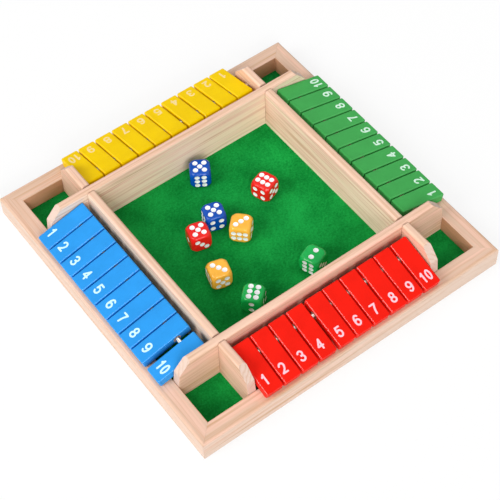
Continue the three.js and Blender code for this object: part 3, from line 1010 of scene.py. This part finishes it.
class BOARDGAME_OT_dice(bpy.types.Operator):
    """Builds the eight dice with rounded edges, trimmed corners and dimpled pips"""

    bl_idname = "boardgame.dice"
    bl_label = "Dice"

    def distance(self, point, die):
        """Signed distance from a die's skin: a rounded cube trimmed by a sphere."""
        inner = die.size / 2 - die.edge_round
        q = [abs(c) - inner for c in point]
        cube = math.sqrt(sum(max(c, 0) ** 2 for c in q)) + min(max(q), 0) - die.edge_round
        ball = point.length - die.corner_sphere
        near = max(CORNER_BLEND - abs(cube - ball), 0) / CORNER_BLEND
        return max(cube, ball) + near * near * CORNER_BLEND / 4

    def skin(self, die):
        """Closed quad mesh of the die's skin, drawn from its middle outwards."""
        count = die.grid
        marks = [math.sin(math.pi / 2 * (2 * i / count - 1)) for i in range(count + 1)]
        marks = [0.55 * m + 0.45 * (2 * i / count - 1) for i, m in enumerate(marks)]
        found, vertices, faces = {}, [], []

        def vertex(direction):
            key = tuple(round(c, 6) for c in direction)
            if key not in found:
                way = Vector(direction).normalized()
                near, far = die.size * 0.4, die.size
                for _ in range(40):
                    halfway = (near + far) / 2
                    if self.distance(way * halfway, die) > 0:
                        far = halfway
                    else:
                        near = halfway
                found[key] = len(vertices)
                vertices.append(way * near)
            return found[key]

        for axis in range(3):
            for side in (-1, 1):
                def corner(i, j):
                    spot = [0.0, 0.0, 0.0]
                    spot[axis] = float(side)
                    spot[(axis + 1) % 3], spot[(axis + 2) % 3] = marks[i], marks[j]
                    return vertex(spot)
                for i in range(count):
                    for j in range(count):
                        faces.append((corner(i, j), corner(i + 1, j), corner(i + 1, j + 1), corner(i, j + 1)))
        return solid("die", vertices, faces)

    def dimple(self, die):
        """Cutter of one pip along z: part of a ball below the face, straight walls above it."""
        radius, depth = die.pip_diameter / 2, die.pip_depth
        ball = (radius ** 2 + depth ** 2) / (2 * depth)
        widest = math.asin(radius / ball)
        stations = [(ball - depth - ball * math.cos(widest * k / 6), ball * math.sin(widest * k / 6))
                    for k in range(1, 7)] + [(CUTTER_RISE, radius)]
        return lathe("dimple", stations, 40)

    def pips(self, count):
        """Places of a number's pips as shares of the die's size."""
        corner, row, column = 0.21, 0.276, 0.166
        square = [(a, b) for a in (-corner, corner) for b in (-corner, corner)]
        return {
            1: [(0, 0)],
            2: [(0, -corner), (0, corner)],
            3: [(-corner, -corner), (0, 0), (corner, corner)],
            4: square,
            5: [(0, 0)] + square,
            6: [(a, b) for a in (-column, column) for b in (-row, 0, row)],
        }[count]

    def execute(self, context):
        game = context.scene.board_game
        die = game.die
        body = self.skin(die)
        dimple = self.dimple(die)
        cutters = []
        for count, (out, across, along) in DIE_FACES.items():
            out, across, along = Vector(out), Vector(across), Vector(along)
            for a, b in self.pips(count):
                centre = out * die.size / 2 + (across * a + along * b) * die.size
                turned = Matrix.Translation(centre) @ UP.rotation_difference(out).to_matrix().to_4x4()
                cutters.append(placed(dimple, turned, "dimple"))
        tool = bmesh.new()
        for cutter in cutters:
            tool.from_mesh(cutter)
        joined = bpy.data.meshes.new("dimples")
        tool.to_mesh(joined)
        tool.free()
        cut = combined(marked(body, 0), [marked(joined, 1)])
        enamel = pip_finish("white_enamel", game.colours.pip)
        plastics = {}
        for name, (top, front, turn) in DICE.items():
            shade = f"die_{name[:-2]}"
            if shade not in plastics:
                plastics[shade] = plastic_finish(f"{shade}_plastic", getattr(game.colours, shade))
            raised = Vector(DIE_FACES[top][0])
            rear = -Vector(DIE_FACES[front][0])
            rolled = Matrix((rear.cross(raised), rear, raised)).to_4x4()
            bottom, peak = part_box(f"die_{name}")
            spot = (Matrix.Translation((bottom + peak) / 2)
                    @ Matrix.Rotation(math.radians(turn), 4, "Z") @ rolled)
            piece(f"{name[:-2]}_die_{name[-1]}", placed(cut, spot, f"die_{name}"), f"die_{name}",
                  [plastics[shade], enamel], [f"die_{name}"], sharp=22, weighted=False)
        return {"FINISHED"}


class BOARDGAME_OT_stage(bpy.types.Operator):
    """Sets the plain floor, the soft light and the camera"""

    bl_idname = "boardgame.stage"
    bl_label = "Floor, light and camera"

    def seen_white(self, finish, share):
        """Share of 1 for what the camera sees directly, in gloss or through glass."""
        rays = [finish.node("ShaderNodeLightPath", output=f"Is {ray} Ray")
                for ray in ("Camera", "Glossy", "Transmission")]
        return (rays[0] + rays[1] + rays[2]).least(1) * share

    def lamp(self, context, name, place, aim, size, energy):
        light = bpy.data.lights.new(name, "AREA")
        light.shape = "DISK"
        light.size = size
        light.energy = energy
        shown = bpy.data.objects.new(name, light)
        shown.location = place
        shown.rotation_euler = (aim - place).to_track_quat("-Z", "Y").to_euler()
        context.scene.collection.objects.link(shown)

    def execute(self, context):
        game = context.scene.board_game
        scene = context.scene
        scene.view_settings.view_transform = "Standard"

        ground = Finish("pale_floor")
        lit = ground.node("ShaderNodeBsdfDiffuse", None, {"Color": game.colours.floor})
        plain = ground.node("ShaderNodeEmission", None, {"Color": (1, 1, 1), "Strength": 1.0})
        blend = ground.node("ShaderNodeMixShader", None, {
            0: self.seen_white(ground, FLOOR_WHITE), 1: lit, 2: plain})
        reach = FLOOR_REACH
        sheet = solid("studio_floor", [(-reach, -reach, 0), (reach, -reach, 0), (reach, reach, 0),
                                       (-reach, reach, 0)], [(0, 1, 2, 3)])
        sheet.materials.append(ground.close(blend))
        floor = bpy.data.objects.new("studio_floor", sheet)
        floor.location.z = -0.05 * MM
        scene.collection.objects.link(floor)

        sky = Finish("studio", "worlds")
        strength = self.seen_white(sky, 1 - WORLD_FILL) + WORLD_FILL
        shine = sky.node("ShaderNodeBackground", None, {"Color": (1, 1, 1), "Strength": strength})
        scene.world = sky.close(shine, "ShaderNodeOutputWorld")

        aim = Vector((0, 0, 0.01))
        for name, (place, size, energy) in LAMPS.items():
            self.lamp(context, name, Vector(place), aim, size, energy)

        azimuth, elevation, roll = (math.radians(a) for a in PHOTO_ANGLES)
        back = Vector((math.sin(azimuth) * math.cos(elevation),
                       -math.cos(azimuth) * math.cos(elevation), math.sin(elevation)))
        right = Vector((math.cos(azimuth), math.sin(azimuth), 0))
        level = basis(right, back.cross(right), back)
        lens = bpy.data.cameras.new("photo_camera")
        lens.sensor_width = 36
        lens.lens = PHOTO_LENS
        lens.clip_start, lens.clip_end = 0.05, 30
        camera = bpy.data.objects.new("photo_camera", lens)
        target = Vector(PHOTO_TARGET) * MM
        camera.matrix_world = (Matrix.Translation(target + back * PHOTO_DISTANCE * MM) @ level
                               @ Matrix.Rotation(roll, 4, "Z"))
        scene.collection.objects.link(camera)
        scene.camera = camera
        return {"FINISHED"}


BUILDERS = (
    BOARDGAME_OT_rails,
    BOARDGAME_OT_floor,
    BOARDGAME_OT_dividers,
    BOARDGAME_OT_rods,
    BOARDGAME_OT_tiles,
    BOARDGAME_OT_dice,
    BOARDGAME_OT_stage,
)


class BOARDGAME_PT_pieces(bpy.types.Panel):
    """Lists the sizes, colours and builders of the game"""

    bl_idname = "BOARDGAME_PT_pieces"
    bl_label = "Wooden board game"
    bl_space_type = "VIEW_3D"
    bl_region_type = "UI"
    bl_category = "Board Game"

    def draw(self, context):
        game = context.scene.board_game
        for group in (game.tray, game.tile, game.die, game.colours):
            box = self.layout.box()
            for name in group.__annotations__:
                box.prop(group, name)
        for builder in BUILDERS:
            self.layout.operator(builder.bl_idname)


CLASSES = (TraySizes, TileSizes, DiceSizes, GameColours, BoardGame, *BUILDERS, BOARDGAME_PT_pieces)


def register():
    for each in CLASSES:
        bpy.utils.register_class(each)
    bpy.types.Scene.board_game = PointerProperty(type=BoardGame)


def unregister():
    del bpy.types.Scene.board_game
    for each in reversed(CLASSES):
        bpy.utils.unregister_class(each)


def main():
    register()
    for builder in BUILDERS:
        group, name = builder.bl_idname.split(".")
        getattr(getattr(bpy.ops, group), name)()


if __name__ == "__main__":
    main()
